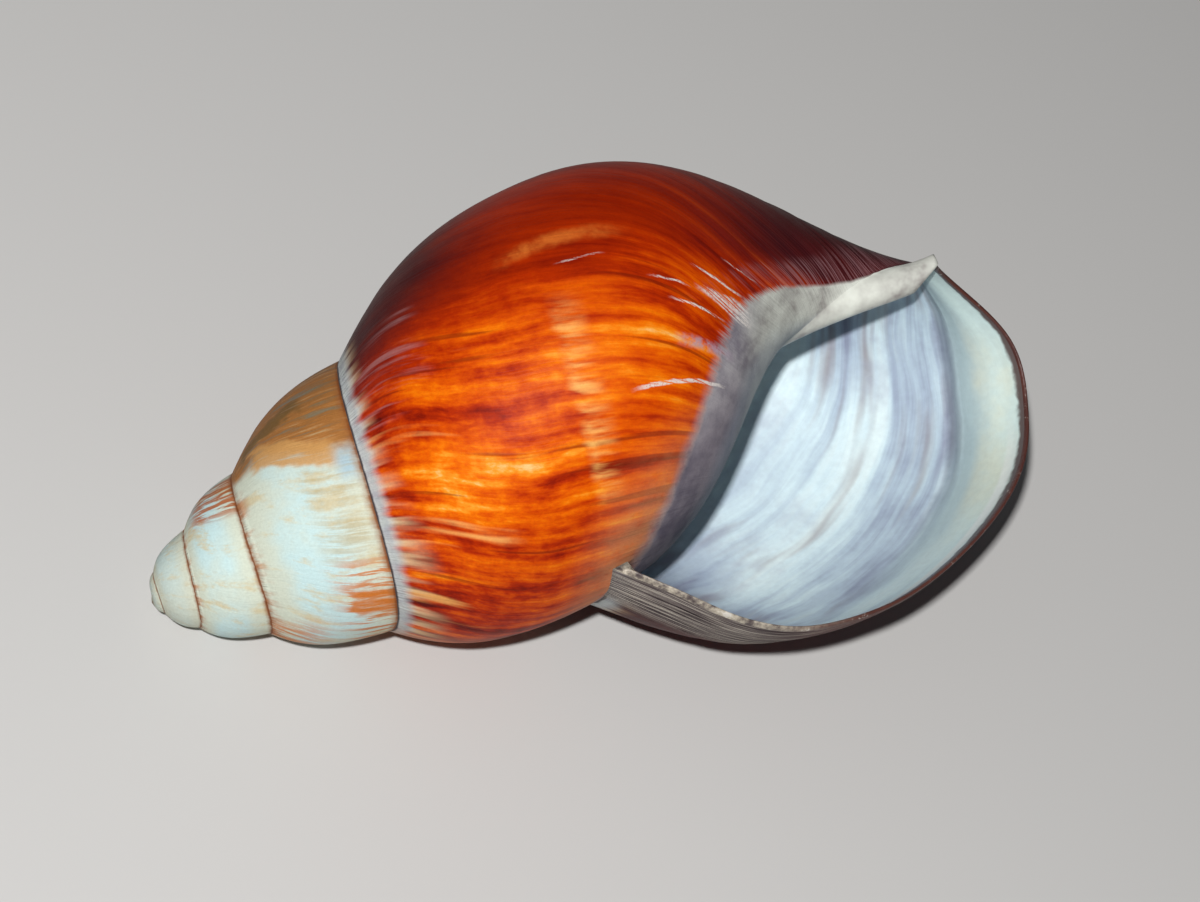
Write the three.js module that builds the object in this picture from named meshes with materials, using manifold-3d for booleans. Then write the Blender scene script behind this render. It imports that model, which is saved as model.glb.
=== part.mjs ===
import * as THREE from "three";
import Module from "manifold-3d";

const library = await Module();
library.setup();
const { Manifold, Mesh } = library;

// A left-coiled giant land snail shell, in millimetres, lying on its back with the mouth upward.
// The skin is one spiral surface. Turns are counted back from the mouth: 0 is the lip, 1 is one turn
// earlier. A point of the skin is given by its turn and by its place along the whorl profile.

const PER_TURN = 24;               // mesh rows in one turn
const TURNS = 5.5;                 // turns from the apex to the lip
const HOLLOW_TURNS = 3.5;          // turns that are hollow, counted back from the lip
const WALL = 1.45;                 // wall thickness of the last turn
const TIP_CUT = 5.0;               // how far the pillar's free end is cut back on the mouth side
const TIP_SPREAD = 1.1;            // how much wider the pillar is there
const REST_ROLL = 23.6;            // degrees the shell is rolled about its axis to lie at rest
const REST_PITCH = -24.3;          // degrees its axis then dips toward the apex
const FLAT_DEPTH = 0.35;           // depth of the worn flats it rests on

// Values at every half turn back from the lip. Along the axis z is measured from the apex.
const CREST_Z = [100.1, 78.1, 61.9, 41.1, 31.6, 19.2, 14.6, 9.07, 5.1, 2.03, 1.07, 0.4, 0.15, 0.06];
const CREST_R = [45.9, 37.2, 26.8, 22.8, 18.4, 13.4, 11.45, 8.43, 6.35, 4.25, 2.07, 1.0, 0.46, 0.2];
const FOOT_Z = [139.0, 124.7, 97.5, 72.1, 52.1, 37.1, 26.0, 17.6, 11.6, 6.5, 3.1, 1.4, 0.6, 0.3];
const FOOT_R = [1.0, 2.5, 3.1, 2.3, 1.8, 1.3, 0.97, 0.7, 0.46, 0.28, 0.15, 0.09, 0.06, 0.04];
const CREST_TILT = [0, 0, -4, 2, 6, 8, 12, 16, 22, 30, 40, 50, 60, 60];
const SHOULDER_TILT = [45, 41, 42, 43, 47, 50, 55, 60, 66, 74, 80, 85, 85, 85];
const FOOT_TILT = [-170, -25, -30, -30, -30, -30, -30, -30, -30, -30, -30, -30, -30, -30];
const BELLY = [0.8, 0.64, 0.66, 0.6, 0.6, 0.6, 0.6, 0.6, 0.6, 0.6, 0.6, 0.6, 0.6, 0.6];
const NECK = [47, 9.6, 9.3, 7, 5.4, 3.9, 2.8, 1.9, 1.2, 0.8, 0.5, 0.3, 0.15, 0.1];
// How far the lip edge runs ahead of (+) or behind (-) the mouth plane, in degrees, at nine equal
// steps from the suture to the foot.
const LIP_LEAD = [36, 31, 23, 16, 11, -2, -28, -50, -88];

const SHOULDER_STEPS = 8;          // outer columns from the suture to the crest
const FOOT_STEPS = 12;             // outer columns from the wall root to the pillar
const INNER_STEPS = 17;            // inner columns from the suture to the pillar
const PILLAR_STEPS = 4;            // columns along the pillar
const ROOT = 0.035;                // width of the root of the next turn's wall, in profile places
const RAMP = 0.5;                  // part of a turn over which the lead of the lip sets in

function smoothStep(low, high, x) {
  const t = Math.min(1, Math.max(0, (x - low) / (high - low)));
  return t * t * (3 - 2 * t);
}

// Smooth curve through evenly spaced values; at counts steps from the first value.
function throughValues(values, at) {
  const last = values.length - 1;
  const x = Math.min(last - 1e-9, Math.max(-0.999, at));
  const i = Math.floor(x);
  const f = x - i;
  const pick = (k) => {
    if (k < 0) return values[0] + k * (values[1] - values[0]);
    if (k > last) return values[last] + (k - last) * (values[last] - values[last - 1]);
    return values[k];
  };
  const [a, b, c, d] = [pick(i - 1), pick(i), pick(i + 1), pick(i + 2)];
  return 0.5 * (2 * b + (c - a) * f + (2 * a - 5 * b + 4 * c - d) * f * f
    + (3 * b - a - 3 * c + d) * f * f * f);
}

function grown(values, turn, shift) {
  const logs = values.map((v) => Math.log(v + shift));
  return Math.exp(throughValues(logs, turn * 2)) - shift;
}

function crest(turn) {
  return [grown(CREST_Z, turn, 7), grown(CREST_R, turn, 0)];
}

function foot(turn) {
  return [grown(FOOT_Z, turn, 7), grown(FOOT_R, turn, 0)];
}

function bezier(a, b, c, d, t) {
  const s = 1 - t;
  return s * s * s * a + 3 * s * s * t * b + 3 * s * t * t * c + t * t * t * d;
}

// Point [z, r] of the whorl profile: place 0 suture, 1 crest, 2 foot on the pillar.
function profile(turn, place) {
  const radians = (values) => throughValues(values, turn * 2) * Math.PI / 180;
  const [cz, cr] = crest(turn);
  const crestTilt = radians(CREST_TILT);
  if (place <= 1) {
    const [sz, sr] = crest(turn + 1);
    const span = Math.hypot(cz - sz, cr - sr);
    const tilt = radians(SHOULDER_TILT);
    return [
      bezier(sz, sz + 0.35 * span * Math.cos(tilt), cz - 0.46 * span * Math.cos(crestTilt), cz, place),
      bezier(sr, sr + 0.35 * span * Math.sin(tilt), cr - 0.46 * span * Math.sin(crestTilt), cr, place),
    ];
  }
  const [fz, fr] = foot(turn);
  const belly = throughValues(BELLY, turn * 2) * (fz - cz);
  const neck = grown(NECK, turn, 0);
  const tilt = radians(FOOT_TILT);
  return [
    bezier(cz, cz + belly * Math.cos(crestTilt), fz - neck * Math.cos(tilt), fz, place - 1),
    bezier(cr, cr + belly * Math.sin(crestTilt), fr - neck * Math.sin(tilt), fr, place - 1),
  ];
}

// How far a point of the skin is turned ahead of its row, in turns.
function lead(turn, place) {
  const own = (1 - smoothStep(0, RAMP, turn)) * throughValues(LIP_LEAD, place * 4);
  const past = 1 - smoothStep(0, turn > 1 ? RAMP : 0.9 * RAMP, Math.abs(turn - 1));
  const root = past * LIP_LEAD[0] * (1 - smoothStep(0, 1, Math.abs(place - 1)));
  return (own + root) / 360;
}

// Point of space for [z, r] at a turn: the mouth faces -Y, the photo's viewer is at +Z.
function place3d([z, r], turn) {
  const angle = -2 * Math.PI * turn;
  return new THREE.Vector3(z, -r * Math.cos(angle), r * Math.sin(angle));
}

function outer(turn, place) {
  const at = turn - lead(turn, place);
  return place3d(profile(at, place), at);
}

function wall(turn) {
  const rim = 0.5 + 0.5 * smoothStep(0, 0.08, turn);
  return WALL * rim * Math.exp(-0.52 * Math.max(0, turn));
}

// The inner face runs beside the outer face, one wall thickness inside it.
function innerPoint(turn, place) {
  const at = turn - lead(turn, place);
  const [z, r] = profile(at, place);
  const [z1, r1] = profile(at, Math.min(2, place + 0.002));
  const [z0, r0] = profile(at, place - 0.002);
  const length = Math.hypot(z1 - z0, r1 - r0);
  const w = wall(turn);
  return { at, z: z + w * (r1 - r0) / length, r: r - w * (z1 - z0) / length };
}

// Place at which the inner face meets the pillar.
function innerEnd(turn) {
  let low = 1.2;
  let high = 2;
  for (let n = 0; n < 30; n += 1) {
    const middle = 0.5 * (low + high);
    const p = innerPoint(turn, middle);
    if (p.r > 1.05 * foot(p.at)[1]) low = middle;
    else high = middle;
  }
  return low;
}

const points = [];
const triangles = [];

function add(point) {
  points.push(point.x, point.y, point.z);
  return points.length / 3 - 1;
}

function triangle(a, b, c) {
  if (a !== b && b !== c && c !== a) triangles.push(a, b, c);
}

function quad(a, b, c, d) {
  triangle(a, b, c);
  triangle(a, c, d);
}

// Join two lines of points that run side by side, the first one on the outer side.
function bridge(first, second) {
  let i = 0;
  let k = 0;
  while (i < first.length - 1 || k < second.length - 1) {
    const stepFirst = (i + 1) / (first.length - 1) <= (k + 1) / (second.length - 1);
    if (k === second.length - 1 || (stepFirst && i < first.length - 1)) {
      triangle(first[i], first[i + 1], second[k]);
      i += 1;
    } else {
      triangle(first[i], second[k + 1], second[k]);
      k += 1;
    }
  }
}

const lastRow = Math.round(PER_TURN * TURNS);
const firstHollow = lastRow - Math.round(PER_TURN * HOLLOW_TURNS);
const firstFoot = firstHollow - PER_TURN;
const root = SHOULDER_STEPS;
const turnOf = (row) => (lastRow - row) / PER_TURN;

function outerPlace(column) {
  if (column <= root) return column / root;
  const step = (column - root - 1) / FOOT_STEPS;
  return 1 + ROOT + (1 - ROOT) * step;
}

// The outer face of every row. Its first column lies on the crest of the turn before.
const apex = add(new THREE.Vector3(0, 0, 0));
const outerRows = [];
for (let row = 0; row <= lastRow; row += 1) {
  const columns = row < firstFoot ? root : root + 1 + FOOT_STEPS;
  const line = [row < PER_TURN ? apex : outerRows[row - PER_TURN][root]];
  for (let column = 1; column <= columns; column += 1) {
    line.push(add(outer(turnOf(row), outerPlace(column))));
  }
  outerRows.push(line);
}

// The inner face of the hollow rows, from the wall root to the pillar.
function innerRow(row) {
  const turn = turnOf(row);
  const end = innerEnd(turn);
  const line = [outerRows[row - PER_TURN][root + 1]];
  for (let column = 1; column <= INNER_STEPS; column += 1) {
    const step = (column - 1) / (INNER_STEPS - 1);
    const p = innerPoint(turn, 0.055 + (end - 0.055) * step);
    line.push(add(place3d([p.z, p.r], p.at)));
  }
  return line;
}

// Where the pillar's free end lies beyond the lip row; step runs from 0 to 1 round the pillar.
function freeEnd(step) {
  const tipTurn = -lead(0, 2);
  const start = innerPoint(0, innerEnd(0));
  const [footZ, footR] = foot(tipTurn);
  const angle = 2 * Math.PI * (step - tipTurn);
  const cut = Math.max(0, Math.cos(angle)) ** 1.5;
  const radius = start.r + (footR - start.r) * step + TIP_SPREAD * cut;
  return { z: start.z + (footZ - start.z) * step - TIP_CUT * cut, r: radius, at: tipTurn - step };
}

// Pillar points of a row, from the inner face (or the free end) down to the foot one turn before.
function pillarRow(row, top, topIndex) {
  const foot0 = turnOf(row) + 1;
  const footAt = foot0 - lead(foot0, 2);
  const [footZ, footR] = foot(footAt);
  const footIndex = outerRows[row - PER_TURN][root + 1 + FOOT_STEPS];
  const height = top.z - footZ;
  const hold = Math.min(0.3 * height, 1.2 * footR);
  const tilt = throughValues(FOOT_TILT, footAt * 2) * Math.PI / 180;
  const line = [topIndex];
  for (let n = 1; n < PILLAR_STEPS; n += 1) {
    const t = n / PILLAR_STEPS;
    const z = bezier(top.z, top.z - 0.3 * height, footZ + hold, footZ, t);
    const r = bezier(top.r, top.r, footR + hold * Math.max(-0.5, Math.sin(tilt)), footR, t);
    const turn = top.at + (footAt - 1 - top.at) * t;
    line.push(add(place3d([z, r], turn)));
  }
  line.push(footIndex);
  return line;
}

const innerRows = [];
const pillarRows = [];
for (let row = firstHollow; row <= lastRow; row += 1) {
  const line = innerRow(row);
  const turn = turnOf(row);
  innerRows[row] = line;
  pillarRows[row] = pillarRow(row, innerPoint(turn, innerEnd(turn)), line[INNER_STEPS]);
}
for (let row = lastRow + 1; row < lastRow + PER_TURN; row += 1) {
  const top = freeEnd((row - lastRow) / PER_TURN);
  pillarRows[row] = pillarRow(row, top, add(place3d([top.z, top.r], top.at)));
}
const tip = outerRows[lastRow][root + 1 + FOOT_STEPS];
pillarRows[lastRow + PER_TURN] = new Array(PILLAR_STEPS + 1).fill(tip);

// Faces between rows.
function skin(rows, from, to, columnFrom, columnTo, facing) {
  for (let row = from; row < to; row += 1) {
    for (let column = columnFrom; column < columnTo; column += 1) {
      const [a, b] = [rows[row][column], rows[row][column + 1]];
      const [c, d] = [rows[row + 1][column + 1], rows[row + 1][column]];
      if (facing > 0) quad(a, b, c, d);
      else quad(b, a, d, c);
    }
  }
}

skin(outerRows, 0, lastRow, 0, root, 1);
skin(outerRows, lastRow - PER_TURN, lastRow, root, root + 1, 1);
skin(outerRows, firstFoot, lastRow, root + 1, root + 1 + FOOT_STEPS, 1);
skin(innerRows, firstHollow, lastRow, 0, INNER_STEPS, -1);
skin(pillarRows, firstHollow, lastRow + PER_TURN, 0, PILLAR_STEPS, -1);

// The rim of the lip, and the blind end of the hollow high in the spire.
bridge(outerRows[lastRow], innerRows[lastRow]);
const backWall = outerRows[firstFoot].slice(root + 1).concat(pillarRows[firstHollow].slice(0, -1).reverse());
bridge(innerRows[firstHollow], backWall);

// The apex and the free end of the pillar.
for (let column = 1; column < root; column += 1) {
  triangle(apex, outerRows[0][column + 1], outerRows[0][column]);
}
const ring = [];
for (let row = lastRow; row <= lastRow + PER_TURN; row += 1) ring.push(pillarRows[row][0]);
const middle = new THREE.Vector3();
for (const index of ring) {
  middle.add(new THREE.Vector3(points[3 * index], points[3 * index + 1], points[3 * index + 2]));
}
const tipMiddle = add(middle.divideScalar(ring.length));
for (let n = 0; n < ring.length; n += 1) {
  triangle(tipMiddle, ring[(n + 1) % ring.length], ring[n]);
}

// Lay the shell on its back, on the last turn and the spire, and wear a small flat at each contact.
const solid = new Manifold(new Mesh({
  numProp: 3,
  vertProperties: new Float32Array(points),
  triVerts: new Uint32Array(triangles),
})).rotate([REST_ROLL, REST_PITCH, 0]);
const lowest = solid.boundingBox().min[2];
const resting = solid.trimByPlane([0, 0, 1], lowest + FLAT_DEPTH);
const box = resting.boundingBox();
const centre = [0, 1, 2].map((k) => (k === 2 ? box.min[k] : (box.min[k] + box.max[k]) / 2));
const mesh = resting.translate(centre.map((c) => -c)).getMesh();

const geometry = new THREE.BufferGeometry();
geometry.setAttribute("position", new THREE.Float32BufferAttribute(mesh.vertProperties, 3));
geometry.setIndex(Array.from(mesh.triVerts));
geometry.computeVertexNormals();
const material = new THREE.MeshStandardMaterial({ color: 0xb5541c, roughness: 0.35, metalness: 0 });
const shell = new THREE.Mesh(geometry, material);
shell.name = "shell";
const group = new THREE.Group();
group.add(shell);
export default group;
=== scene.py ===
"""A left-coiled giant land snail shell, lying on its back with the mouth up."""
import math
from types import SimpleNamespace

import bpy
import numpy as np
from mathutils import Matrix, Vector


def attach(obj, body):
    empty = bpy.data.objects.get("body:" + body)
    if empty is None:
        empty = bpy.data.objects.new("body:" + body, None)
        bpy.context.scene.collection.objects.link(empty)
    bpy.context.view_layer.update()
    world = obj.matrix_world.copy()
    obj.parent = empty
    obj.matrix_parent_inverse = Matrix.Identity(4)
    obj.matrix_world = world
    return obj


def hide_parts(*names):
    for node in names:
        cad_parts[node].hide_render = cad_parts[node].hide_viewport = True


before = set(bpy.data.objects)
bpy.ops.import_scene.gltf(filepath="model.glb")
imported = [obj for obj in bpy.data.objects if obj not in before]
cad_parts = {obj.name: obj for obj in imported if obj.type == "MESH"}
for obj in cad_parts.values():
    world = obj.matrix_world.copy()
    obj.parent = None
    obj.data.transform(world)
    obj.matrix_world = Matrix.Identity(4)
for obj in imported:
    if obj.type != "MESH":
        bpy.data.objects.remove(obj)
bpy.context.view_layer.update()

# The whorl. The real shell is one wall of lime that the snail laid down along its mouth's edge, turn after
# turn. Every point follows two numbers: the turn, counted back from the lip, and the place along the
# whorl's profile, 0 at the seam, 1 on the crest and 2 at the foot on the pillar.
# The lists have one value for each half turn back from the lip: Z along the axis and R off it in
# millimetres, and the profile's direction in degrees.
CREST_Z = [100.1, 78.1, 61.9, 41.1, 31.6, 19.2, 14.6, 9.07, 5.1, 2.03, 1.07, 0.4, 0.15, 0.06]
CREST_R = [45.9, 37.2, 26.8, 22.8, 18.4, 13.4, 11.45, 8.43, 6.35, 4.25, 2.07, 1.0, 0.46, 0.2]
FOOT_Z = [139.0, 124.7, 97.5, 72.1, 52.1, 37.1, 26.0, 17.6, 11.6, 6.5, 3.1, 1.4, 0.6, 0.3]
FOOT_R = [1.0, 2.5, 3.1, 2.3, 1.8, 1.3, 0.97, 0.7, 0.46, 0.28, 0.15, 0.09, 0.06, 0.04]
CREST_TILT = [0, 0, -4, 2, 6, 8, 12, 16, 22, 30, 40, 50, 60, 60]
SHOULDER_TILT = [45, 41, 42, 43, 47, 50, 55, 60, 66, 74, 80, 85, 85, 85]
FOOT_TILT = [-170, -25] + [-30] * 12
# How far the profile holds its direction: past the crest as a share of the way to the foot, before the
# foot in millimetres, and on the shoulder as shares of the span from seam to crest.
BELLY = [0.8, 0.64, 0.66] + [0.6] * 11
NECK = [47, 9.6, 9.3, 7, 5.4, 3.9, 2.8, 1.9, 1.2, 0.8, 0.5, 0.3, 0.15, 0.1]
SEAM_HOLD = 0.35
CREST_HOLD = 0.46
# Millimetres added along the axis before the logarithm is taken, as lengths come down to nothing at
# the apex.
APEX_SHIFT = 7.0


def through(values, at):
    """A Catmull-Rom curve through evenly spaced values, read at a count of steps."""
    v = np.asarray(values, float)
    before = 2 * v[0] - v[1]
    after = 2 * v[-1] - v[-2]
    padded = np.concatenate([[2 * before - v[0], before], v, [after, 2 * after - v[-1]]])
    x = np.clip(np.asarray(at, float), -0.999, len(v) - 1 - 1e-9)
    i = np.floor(x).astype(int)
    f = x - i
    a, b, c, d = (padded[i + k] for k in (1, 2, 3, 4))
    return 0.5 * (2 * b + (c - a) * f + (2 * a - 5 * b + 4 * c - d) * f**2 + (3 * b - a - 3 * c + d) * f**3)


def grown(values, turn, shift=0.0):
    """The same curve through the logarithms, as a shell's sizes grow by a ratio each turn."""
    return np.exp(through(np.log(np.asarray(values, float) + shift), 2 * turn)) - shift


def bezier(a, b, c, d, t):
    """A cubic Bezier: the four points weighted by the Bernstein polynomials of t."""
    s = 1 - t
    return s * s * s * a + 3 * s * s * t * b + 3 * s * t * t * c + t * t * t * d


def profile(turn, place):
    """Two Beziers in the half plane of the axis: seam to crest, then crest to foot; gives z, r."""
    turn, place = np.broadcast_arrays(np.asarray(turn, float), np.asarray(place, float))
    crest_z, crest_r = grown(CREST_Z, turn, APEX_SHIFT), grown(CREST_R, turn)
    seam_z, seam_r = grown(CREST_Z, turn + 1, APEX_SHIFT), grown(CREST_R, turn + 1)
    foot_z, foot_r = grown(FOOT_Z, turn, APEX_SHIFT), grown(FOOT_R, turn)
    crest = np.radians(through(CREST_TILT, 2 * turn))
    shoulder = np.radians(through(SHOULDER_TILT, 2 * turn))
    foot = np.radians(through(FOOT_TILT, 2 * turn))
    span = np.hypot(crest_z - seam_z, crest_r - seam_r)
    leave = SEAM_HOLD * span
    arrive = CREST_HOLD * span
    belly = through(BELLY, 2 * turn) * (foot_z - crest_z)
    neck = grown(NECK, turn)
    z = np.where(
        place <= 1,
        bezier(seam_z, seam_z + leave * np.cos(shoulder), crest_z - arrive * np.cos(crest), crest_z, place),
        bezier(crest_z, crest_z + belly * np.cos(crest), foot_z - neck * np.cos(foot), foot_z, place - 1),
    )
    r = np.where(
        place <= 1,
        bezier(seam_r, seam_r + leave * np.sin(shoulder), crest_r - arrive * np.sin(crest), crest_r, place),
        bezier(crest_r, crest_r + belly * np.sin(crest), foot_r - neck * np.sin(foot), foot_r, place - 1),
    )
    return z, r


# The lip's slant. The real mouth's edge doesn't lie in one half plane of the axis: its upper end runs
# ahead and its foot hangs back. The turn before carries the same lead on its crest, where the lip joins it.
# Degrees ahead, one value for each quarter step of place from the seam to the foot.
LIP_LEAD = [36, 31, 23, 16, 11, -2, -28, -50, -88]
LEAD_TURNS = 0.5
LEAD_TURNS_AFTER_JOIN = 0.9 * LEAD_TURNS


def ease(low, high, x):
    """Rises from 0 at low to 1 at high along 3t^2 - 2t^3."""
    t = np.clip((x - low) / (high - low), 0, 1)
    return t * t * (3 - 2 * t)


def lead(turn, place):
    """Turns by which a point runs ahead of its row: the lip's slant, eased in over the last half turn."""
    turn, place = np.broadcast_arrays(np.asarray(turn, float), np.asarray(place, float))
    own = (1 - ease(0, LEAD_TURNS, turn)) * through(LIP_LEAD, 4 * place)
    width = np.where(turn > 1, LEAD_TURNS, LEAD_TURNS_AFTER_JOIN)
    near_join = 1 - ease(0, 1, np.abs(turn - 1) / width)
    join = near_join * LIP_LEAD[0] * (1 - ease(0, 1, np.abs(place - 1)))
    return (own + join) / 360


# Winding and rest. The profile turns left round the axis, and the finished shell is rolled and pitched
# onto its back by fixed angles, at which its weight balances on the last whorl and the spire, as a real one
# lies on a table.
MM = 0.001
REST_ROLL = math.radians(23.6)
REST_PITCH = math.radians(-24.3)
REST_SHIFT = np.array([-68.955, 3.537, 5.498])


def in_space(z, r, turn):
    """Winds z, r round the axis: x along the axis, the mouth toward -y."""
    angle = -2 * np.pi * turn
    return np.stack([z, -r * np.cos(angle), r * np.sin(angle)], axis=-1)


def turned(a, b, angle):
    """Two coordinates turned in their plane: a cos - b sin, and a sin + b cos."""
    return a * math.cos(angle) - b * math.sin(angle), a * math.sin(angle) + b * math.cos(angle)


def to_rest(points):
    """Rolls and pitches points in millimetres to the rest pose, in metres."""
    x, y, z = points[..., 0], points[..., 1], points[..., 2]
    y, z = turned(y, z, REST_ROLL)
    z, x = turned(z, x, REST_PITCH)
    return (np.stack([x, y, z], axis=-1) + REST_SHIFT) * MM


# The outer face. On the real shell each turn sits on the one before, just past its crest, so the face is
# one long strip whose seam edge runs along the crest of the turn before. Faint growth waves cross it.
PER_TURN = 160
TURNS = 5.5
SHOULDER_STEPS = 30
FOOT_STEPS = 46
COLUMNS = SHOULDER_STEPS + 1 + FOOT_STEPS
LAST = int(PER_TURN * TURNS)
# The next turn's wall covers the places from 1 to 1 + ROOT.
ROOT = 0.035
NEAR = 0.001
# Waves: height in millimetres, cycles in a turn of the two sines and of their swelling, how they are
# shifted and bent so as not to repeat, and how they shrink toward the apex and fade out at the seam.
WAVE_HEIGHT = 0.055
BROAD_WAVES = 21
NARROW_WAVES = 34
NARROW_SHARE = 0.7
NARROW_SHIFT = 2
NARROW_BEND = 1.5
BEND_RATE = 9
WAVE_SWELL = 3.1
SWELL_SHIFT = 1.3
WAVE_SHRINK = 0.5
WAVE_FADE = (0.02, 0.25)
SEAM_FADE = (0, 0.02)


def ripple(growth, place):
    """Growth waves in millimetres: two sines of the growth stage, swelling and fading along it."""
    slow = 0.5 + 0.5 * np.sin(2 * np.pi * WAVE_SWELL * growth + SWELL_SHIFT)
    bend = NARROW_BEND * np.sin(BEND_RATE * place)
    narrow = np.sin(2 * np.pi * NARROW_WAVES * growth + NARROW_SHIFT + bend)
    waves = np.sin(2 * np.pi * BROAD_WAVES * growth) + NARROW_SHARE * narrow
    return WAVE_HEIGHT * slow * waves * ease(*WAVE_FADE, place)


def with_normal(at, place):
    """The profile's z, r and its outward unit normal: the slope between two near places, turned square."""
    z, r = profile(at, place)
    z1, r1 = profile(at, np.minimum(place + NEAR, 2))
    z0, r0 = profile(at, place - NEAR)
    length = np.hypot(z1 - z0, r1 - r0)
    return z, r, -(r1 - r0) / length, (z1 - z0) / length


def outer_surface(turn, place):
    """The profile wound round the axis, with growth waves along its normal; gives points and turns."""
    at = turn - lead(turn, place)
    z, r, normal_z, normal_r = with_normal(at, place)
    size = np.exp(-WAVE_SHRINK * np.maximum(at, 0))
    wave = ripple(at + through(LIP_LEAD, 4 * place) / 360, place) * size * ease(*SEAM_FADE, place)
    return in_space(z + wave * normal_z, r + wave * normal_r, at), at


def numbered(start, rows, columns):
    """A grid of point numbers that counts on from start, row after row."""
    return start + np.arange(rows * columns).reshape(rows, columns)


rows = np.arange(LAST + 1)
turns = (LAST - rows) / PER_TURN
places = np.concatenate([
    np.arange(SHOULDER_STEPS + 1) / SHOULDER_STEPS,
    1 + ROOT + (1 - ROOT) * np.arange(FOOT_STEPS + 1) / FOOT_STEPS,
])
outer_points, outer_turns = outer_surface(turns[:, None], places[None, 1:])
outer = np.empty((LAST + 1, COLUMNS + 1), int)
outer[:, 1:] = numbered(1, LAST + 1, COLUMNS)
outer[:, 0] = np.where(rows < PER_TURN, 0, outer[rows - PER_TURN, SHOULDER_STEPS])
inner_start = 1 + (LAST + 1) * COLUMNS

# The inner face. The snail coats the inside with a smooth porcelain one wall's thickness away, thinner at
# the rim and toward the spire, and swells it slightly behind the lip. It comes down onto the pillar.
HOLLOW_TURNS = 2.5
FIRST_HOLLOW = LAST - int(PER_TURN * HOLLOW_TURNS)
WALL = 1.45
WALL_SHRINK = 0.52
RIM_SHARE = 0.5
RIM_TURNS = 0.08
LIP_SWELL = 0.7
SWELL_RISE = (0.004, 0.03)
SWELL_FALL = (0.038, 0.066)
SWELL_PLACES = (0.9, 1.35)
INNER_FIRST_PLACE = 0.055
PILLAR_SKIN = 1.05
PILLAR_SEARCH_FROM = 1.2
PILLAR_SEARCH_STEPS = 900


def inner_profile(turn, place):
    """The outer profile moved inward along its normal by the wall's thickness; gives z, r and turns."""
    at = turn - lead(turn, place)
    z, r, normal_z, normal_r = with_normal(at, place)
    swell = LIP_SWELL * ease(*SWELL_RISE, turn) * (1 - ease(*SWELL_FALL, turn)) * ease(*SWELL_PLACES, place)
    to_rim = RIM_SHARE + (1 - RIM_SHARE) * ease(0, RIM_TURNS, turn)
    wall = WALL * to_rim * np.exp(-WALL_SHRINK * np.maximum(turn, 0)) + swell
    return z - wall * normal_z, r - wall * normal_r, at


def inner_end(turn):
    """The place where the inner face comes down to the pillar, found on a fine grid of places."""
    fine = np.linspace(PILLAR_SEARCH_FROM, 2, PILLAR_SEARCH_STEPS)
    z, r, at = inner_profile(turn[:, None], fine[None, :])
    limit = PILLAR_SKIN * grown(FOOT_R, at)
    first = np.argmax(r <= limit, axis=1)
    first = np.where((r <= limit).any(axis=1), first, len(fine) - 1)
    each = np.arange(len(turn))
    before = (r - limit)[each, first - 1]
    after = (r - limit)[each, first]
    share = np.clip(before / (before - after + 1e-12), 0, 1)
    return fine[first - 1] + (fine[first] - fine[first - 1]) * share


hollow = np.arange(FIRST_HOLLOW, LAST + 1)
hollow_turns = (LAST - hollow) / PER_TURN
ends = inner_end(hollow_turns)
inner_places = INNER_FIRST_PLACE + (ends[:, None] - INNER_FIRST_PLACE) * places[None, 1:] / 2
inner_z, inner_r, inner_turns = inner_profile(hollow_turns[:, None], inner_places)
inner = np.empty((len(hollow), COLUMNS + 1), int)
inner[:, 1:] = numbered(inner_start, len(hollow), COLUMNS)
inner[:, 0] = outer[hollow - PER_TURN, SHOULDER_STEPS + 1]
pillar_start = inner_start + len(hollow) * COLUMNS

# The pillar. Round the axis the real turns join in a solid twisted pillar of bare lime. At the mouth it
# stops short and ends free, cut off on a slant.
FIRST_FOOT = FIRST_HOLLOW - PER_TURN
PILLAR_STEPS = 12
TIP_CUT = 5.0
TIP_SPREAD = 1.1
CUT_SHARPNESS = 1.5
# The pillar's side holds its direction over a share of its height, and over no more than this many foot
# radii at the foot. It dips inward there by no more than a half.
SIDE_HOLD = 0.3
FOOT_HOLD = 1.2
LEAST_DIP = -0.5


def free_end(step):
    """The rim of the pillar's free end, once round, from the inner face's end to the outer foot."""
    tip_turn = -lead(0, 2)
    z0, r0, _ = inner_profile(0.0, inner_end(np.zeros(1))[0])
    z1, r1 = grown(FOOT_Z, tip_turn, APEX_SHIFT), grown(FOOT_R, tip_turn)
    cut = np.maximum(0, np.cos(2 * np.pi * (step - tip_turn))) ** CUT_SHARPNESS
    return z0 + (z1 - z0) * step - TIP_CUT * cut, r0 + (r1 - r0) * step + TIP_SPREAD * cut, tip_turn - step


def pillar_surface(turn, top_z, top_r, top_turn, t):
    """From the top down to the foot of one turn before, a Bezier along the pillar, turning evenly."""
    foot_turn = turn + 1 - lead(turn + 1, 2)
    foot_z, foot_r = grown(FOOT_Z, foot_turn, APEX_SHIFT), grown(FOOT_R, foot_turn)
    height = top_z - foot_z
    hold = np.minimum(SIDE_HOLD * height, FOOT_HOLD * foot_r)
    dip = hold * np.maximum(LEAST_DIP, np.sin(np.radians(through(FOOT_TILT, 2 * foot_turn))))
    z = bezier(top_z, top_z - SIDE_HOLD * height, foot_z + hold, foot_z, t)
    r = bezier(top_r, top_r, foot_r + dip, foot_r, t)
    return in_space(z, r, top_turn + (foot_turn - 1 - top_turn) * t)


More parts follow.
